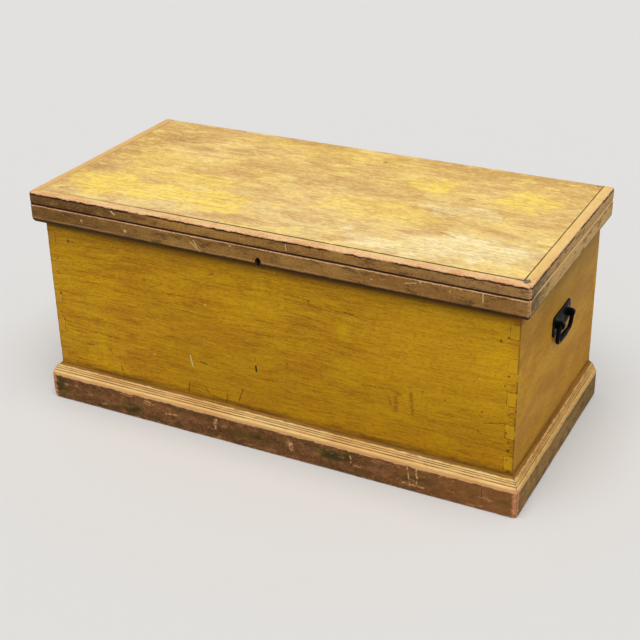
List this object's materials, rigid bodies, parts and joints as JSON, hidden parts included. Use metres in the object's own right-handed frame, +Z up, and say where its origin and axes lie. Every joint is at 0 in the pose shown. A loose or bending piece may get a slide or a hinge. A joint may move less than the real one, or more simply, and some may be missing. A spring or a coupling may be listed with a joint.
{
  "type": "blanket chest",
  "caption": "Dovetailed pine blanket chest with a hinged lid, a moulded plinth, an inset iron lock and an iron drop handle on each end.",
  "frame": {"origin": "on the floor, at the centre of the whole footprint (lid front edge to hinge knuckles)", "axes": "+X along the length to the viewer's right from the front, +Z up, the front with the keyhole faces -Y"},
  "size_m": [1.067, 0.5214, 0.48],
  "materials": {
    "painted_pine": "old mustard-yellow scumble over pine, worn",
    "plinth_pine": "dirty brown paint over pine, rubbed bare on the arrises",
    "bare_pine": "unfinished sawn pine, aged",
    "black_iron": "black paint, worn on the edges",
    "worn_iron": "dull dark iron with light rust",
    "nail_iron": "rusty cut nails, filled and painted over"
  },
  "bodies": {
    "carcass": {"back_board": "painted_pine", "bottom_board_1": "bare_pine", "bottom_board_2": "bare_pine", "bottom_board_3": "bare_pine", "bottom_board_4": "bare_pine", "bottom_board_5": "bare_pine", "bottom_nails": "nail_iron", "corner_block_back_left": "bare_pine", "corner_block_back_right": "bare_pine", "corner_block_front_left": "bare_pine", "corner_block_front_right": "bare_pine", "front_board": "painted_pine", "handle_left_plate": "black_iron", "handle_left_screws": "black_iron", "handle_right_plate": "black_iron", "handle_right_screws": "black_iron", "hinge_body_screws": "worn_iron", "hinge_left_body_leaf": "worn_iron", "hinge_left_pin": "worn_iron", "hinge_right_body_leaf": "worn_iron", "hinge_right_pin": "worn_iron", "left_end_board": "painted_pine", "lock_case": "worn_iron", "lock_plate": "worn_iron", "lock_screws": "worn_iron", "plinth_front": "plinth_pine", "plinth_left": "plinth_pine", "plinth_nails": "nail_iron", "plinth_right": "plinth_pine", "right_end_board": "painted_pine", "strip_front": "painted_pine", "strip_left": "painted_pine", "strip_nails": "nail_iron", "strip_right": "painted_pine"},
    "lid": {"lid_board_back": "painted_pine", "lid_board_front": "painted_pine", "lid_edge_front": "painted_pine", "lid_edge_left": "painted_pine", "lid_edge_nails": "nail_iron", "lid_edge_right": "painted_pine", "lid_link_plate": "worn_iron", "lid_link_screws": "worn_iron", "hinge_left_lid_leaf": "worn_iron", "hinge_right_lid_leaf": "worn_iron", "hinge_lid_screws": "worn_iron"},
    "lock_bolt": {"lock_bolt": "worn_iron", "lock_bolt_spring": "worn_iron"},
    "left_bail": {"handle_left_bail": "black_iron"},
    "right_bail": {"handle_right_bail": "black_iron"}
  },
  "joints": [
    {"name": "lid_hinge", "type": "hinge", "parent": "carcass", "child": "lid", "pos_m": [0, 0.25625, 0.45475], "axis": [-1, 0, 0], "range_deg": [0, 105]},
    {"name": "right_bail_swing", "type": "hinge", "parent": "carcass", "child": "right_bail", "pos_m": [0.524, 0.00575, 0.296], "axis": [0, -1, 0], "range_deg": [-2, 186]},
    {"name": "left_bail_swing", "type": "hinge", "parent": "carcass", "child": "left_bail", "pos_m": [-0.524, 0.00575, 0.296], "axis": [0, 1, 0], "range_deg": [-2, 186]},
    {"name": "bolt_throw", "type": "slide", "parent": "carcass", "child": "lock_bolt", "axis": [1, 0, 0], "range_m": [0, 0.008]}
  ]
}
